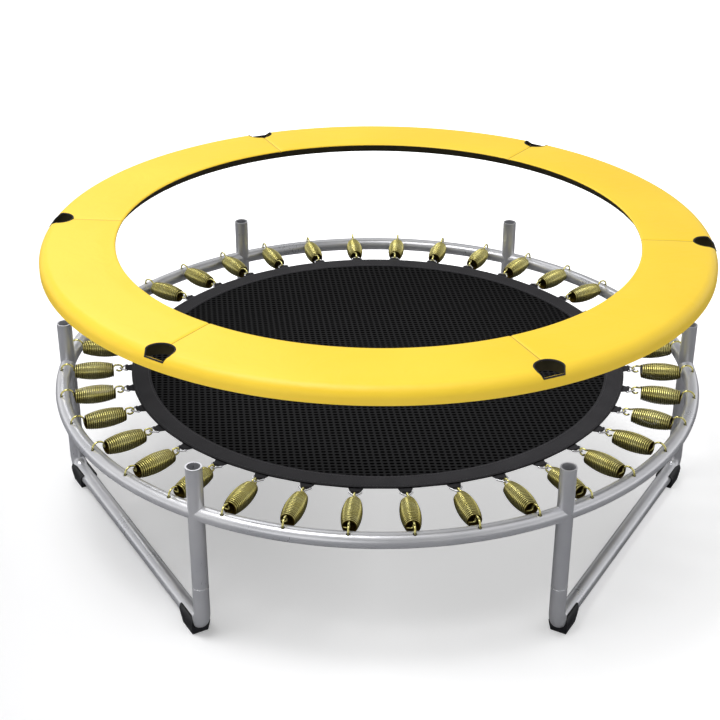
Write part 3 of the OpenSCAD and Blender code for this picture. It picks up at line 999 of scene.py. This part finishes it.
def make_binding(number):
    """Black tape bound over the edge of a pole opening, all the way round."""
    angle = BAY * number + pad_turn
    turn = Matrix.Rotation(angle, 4, "Z")
    middle = hole_outline(bind_w / 2)
    # The outer run stays clear of the post when the pad is seated
    corner_out = ring_r + post_r + bind_gap + bind_w / 2
    route = [(corner_out if x >= skirt_in_r else x, y) for x, y in middle]
    sides = 10
    stations = []
    count = len(route)
    for i, (x, y) in enumerate(route):
        bx, by = route[i - 1]
        ax, ay = route[(i + 1) % count]
        along = Vector((ax - bx, ay - by)).normalized()
        out = Vector((along.y, -along.x))
        z = pad_top - top_drop(x) - 0.9 * MM
        station = []
        for s in range(sides):
            a = math.tau * s / sides
            w = (bind_w / 2 + 0.2 * MM) * math.cos(a)
            h = bind_half_h * math.sin(a)
            station.append(tuple(turn @ Vector((x + out.x * w, y + out.y * w, z + h))))
        stations.append(station)
    verts, faces = swept_strip(stations, closed=True)
    binding = piece_from(f"binding_tape_{number + 1}", verts, faces, WEBBING)
    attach(binding, "pad_skin")
    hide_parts(f"hole_binding_{number + 1}")


def pocket_side_r(height, gap):
    """Radius of the slanted inner side of the foam's pocket, at that height under the pad's top."""
    return pad_in_r - bevel_slope * (height + edge_r) + (skin_t + gap) * math.hypot(1, bevel_slope)


def make_foam(number):
    """The foam segment inside a panel, with slightly round edges."""
    start = BAY * number + pad_turn
    gap = 0.4 * MM
    high = -skin_t - gap
    low = skin_t + gap - pad_t
    outer = pocket_wall_r - skin_t - gap
    top_corners = [(pocket_side_r(high, gap), high), (outer, high)]
    low_corners = [(outer, low), (pocket_side_r(low, gap), low)]
    outline = rounded_corners(top_corners + low_corners, 2.5 * MM, 3)
    stations = []
    for i in range(49):
        angle = start + BAY * mix(0.001, 0.999, i / 48)
        stations.append([tuple(polar(r, angle, pad_top + height)) for r, height in outline])
    verts, faces = swept_strip(stations)
    foam = piece_from(f"foam_segment_{number + 1}", verts, faces, FOAM)
    sharp_edges(foam, 50)
    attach(foam, "pad_core")
    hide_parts(f"pad_foam_{number + 1}")


# Frame


def paint_frame():
    """The tubes and feet keep their exact shapes, and get their finishes."""
    for name, node in frame["nodes"].items():
        kind = name.rsplit("_", 1)[0]
        if kind in ("ring_arc", "post", "leg"):
            paint(node, TUBE)
        elif kind == "foot":
            paint(node, MOULDING)


def paint(node, material):
    node.data.materials.clear()
    node.data.materials.append(material)


def make_post_lips():
    """The pressed lip at the foot of each post, where the leg goes in."""
    stations = []
    for s in range(48):
        around = math.tau * s / 48
        stations.append([
            (ring_r + r * math.cos(around), r * math.sin(around), post_foot + z)
            for r, z in arc_points((post_r, 0.0), lip_r, 0, 324, 9)
        ])
    verts, faces = swept_strip(stations, closed=True)
    lip = piece_from("post_lip", verts, faces, BRIGHT)
    lips = ROUND_THE_AXIS.run(lip, Count=BAYS, Step=BAY, First=0.0, Material=BRIGHT)
    lips.name = "post_lips"
    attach(lips, "frame")


# Studio

SIZE_PX = 720
SENSOR = 36.0
focal_px = 1446.37
principal_px = (377.71, 363.0)
camera_distance = 4.68373 * ring_r
camera_aim_z = 290 * MM
camera_elevation = math.radians(27.5676)
camera_azimuth = math.radians(-0.806)
camera_roll = math.radians(0.5008)


def make_camera():
    """The photograph's camera: it looks from the front at the axis, just over the frame ring's middle."""
    back = Vector((
        math.sin(camera_azimuth) * math.cos(camera_elevation),
        -math.cos(camera_azimuth) * math.cos(camera_elevation),
        math.sin(camera_elevation),
    ))
    level = (-back).cross(Vector((0, 0, 1))).normalized()
    upright = level.cross(-back)
    right = level * math.cos(camera_roll) + upright * math.sin(camera_roll)
    up = upright * math.cos(camera_roll) - level * math.sin(camera_roll)
    place = Vector((0, 0, camera_aim_z)) + back * camera_distance
    data = bpy.data.cameras.new("photo_camera")
    data.sensor_width = SENSOR
    data.lens = focal_px / SIZE_PX * SENSOR
    data.shift_x = -(principal_px[0] - SIZE_PX / 2) / SIZE_PX
    data.shift_y = (principal_px[1] - SIZE_PX / 2) / SIZE_PX
    camera = bpy.data.objects.new("photo_camera", data)
    rotation = Matrix((right, up, back)).transposed()
    camera.matrix_world = Matrix.Translation(place) @ rotation.to_4x4()
    bpy.context.scene.collection.objects.link(camera)
    bpy.context.scene.camera = camera


def make_floor():
    """A wide pale floor that fades into the white background."""
    half = 30.0
    floor = piece_from(
        "studio_floor",
        [(-half, -half, 0), (half, -half, 0), (half, half, 0), (-half, half, 0)],
        [(0, 1, 2, 3)],
        floor_paint(),
        smooth=False,
    )


def floor_paint():
    """White paper with painted light that only the camera sees: an emission that brightens it towards the
    back.
    """
    finish = Finish("studio_floor_paint", srgb(240, 240, 241), 0.8)
    finish.shader.inputs["Specular IOR Level"].default_value = 0.1
    ray = finish.node("ShaderNodeLightPath")
    cloud = finish.math("MULTIPLY", finish.noise(2, detail=1), 0.02)
    # Bright metal mirrors the floor darker than the camera sees it
    tone = finish.math("ADD", cloud, ray.outputs["Is Glossy Ray"])
    finish.connect("Base Color", finish.colours(
        tone, (0.0, srgb(239, 239, 240)), (0.02, srgb(242, 242, 243)), (1.0, srgb(84, 85, 90))))
    split = finish.node("ShaderNodeSeparateXYZ", {"Vector": finish.place})
    # Painted light for the camera: the emission grows to the back and a little to the right, and falls off
    # to both sides
    back = finish.spread(split.outputs["Y"], 0.4, 0.97, -0.9, 1.6)
    right = finish.spread(split.outputs["X"], -0.24, 0.12, -1.0, 1.0)
    sides = finish.spread(finish.math("ABSOLUTE", split.outputs["X"]), 0.0, -0.68, 0.0, 2.0)
    near = finish.math("ADD", finish.math("ADD", back, right), sides)
    # Far from the trampoline the floor is plain white on all sides
    painted_light = finish.math("MAXIMUM", near, finish.spread(finish.length(finish.place), 0.0, 1.0, 2.2, 4.0))
    finish.shader.inputs["Emission Color"].default_value = (1, 1, 1, 1)
    finish.connect("Emission Strength", finish.math("MULTIPLY", painted_light, ray.outputs["Is Camera Ray"]))
    return finish.material


def area_light(name, place, aim, size, power):
    """A round white lamp of that diameter, turned towards aim."""
    data = bpy.data.lights.new(name, "AREA")
    data.shape = "DISK"
    data.size = size
    data.energy = power
    light = bpy.data.objects.new(name, data)
    light.location = place
    light.rotation_euler = (Vector(aim) - Vector(place)).to_track_quat("-Z", "Y").to_euler()
    bpy.context.scene.collection.objects.link(light)


def make_walls():
    """The studio's white walls: darker on the camera's side, and brighter at both sides."""
    world = bpy.data.worlds.new("studio")
    world.use_nodes = True
    bpy.context.scene.world = world
    tree = world.node_tree

    def node(kind, inputs=(), **settings):
        return new_node(tree, kind, inputs, settings)

    direction = node("ShaderNodeTexCoord").outputs["Generated"]
    split = node("ShaderNodeSeparateXYZ", {"Vector": direction})
    walls = node("ShaderNodeValToRGB", {"Fac": split.outputs["Z"]})
    ramp = walls.color_ramp.elements
    # Bright low walls and a darker height above them shape the springs' round bodies
    greys = ((0.0, 1.0), (0.2, 0.95), (0.38, 0.45), (0.6, 0.5), (0.9, 1.0))
    for height, grey in greys[1:-1]:
        ramp.new(height)
    for element, (height, grey) in zip(ramp, greys):
        element.position = height
        element.color = (grey, grey, grey, 1.0)
    front = node("ShaderNodeMapRange", {
        "Value": split.outputs["Y"], "From Min": -0.95, "From Max": -0.3, "To Min": 0.5, "To Max": 1.0})
    aside = node("ShaderNodeMath", {0: split.outputs["X"]}, operation="ABSOLUTE")
    sides = node("ShaderNodeMapRange", {
        "Value": aside.outputs["Value"], "From Min": 0.25, "From Max": 0.7, "To Min": 0.85, "To Max": 1.5})
    share = node(
        "ShaderNodeMath", {0: front.outputs["Result"], 1: sides.outputs["Result"]}, operation="MULTIPLY")
    shaded = node(
        "ShaderNodeVectorMath",
        {0: walls.outputs["Color"], "Scale": share.outputs["Value"]},
        operation="SCALE",
    )
    colour = node(
        "ShaderNodeVectorMath", {0: shaded.outputs["Vector"], 1: (1.3, 1.3, 1.3)}, operation="MULTIPLY")
    # The camera itself sees plain white beyond the floor
    seen = node("ShaderNodeLightPath").outputs["Is Camera Ray"]
    white = node("ShaderNodeMapRange", {"Value": seen, "To Min": 0.0, "To Max": 2.0})
    total = node(
        "ShaderNodeVectorMath", {0: colour.outputs["Vector"], 1: white.outputs["Result"]}, operation="ADD")
    background = tree.nodes["Background"]
    tree.links.new(total.outputs["Vector"], background.inputs["Color"])
    background.inputs["Strength"].default_value = 0.6


def make_lights():
    """A large lamp over the left front, one at the back and a weak one low in front."""
    area_light("key_light", (-1.1, -0.7, 4.0), (-0.1, 0, 0.4), 2.4, 87)
    area_light("back_light", (-1.4, 2.8, 3.3), (-0.3, 0, 0.5), 1.8, 26)
    area_light("front_light", (-1.2, -3.4, 0.8), (-0.1, 0, 0.2), 2.2, 8)


bpy.context.scene.view_settings.view_transform = "Standard"
make_camera()
make_walls()
make_lights()
make_floor()
paint_frame()
make_post_lips()
make_springs()
triangle_rings = make_triangle_rings()
tabs = make_tabs()
mat = make_mat()
band = make_band()
stitch_rows = make_band_stitches()
for bay in range(BAYS):
    make_panel(bay)
    make_lining(bay)
    make_binding(bay)
    make_foam(bay)
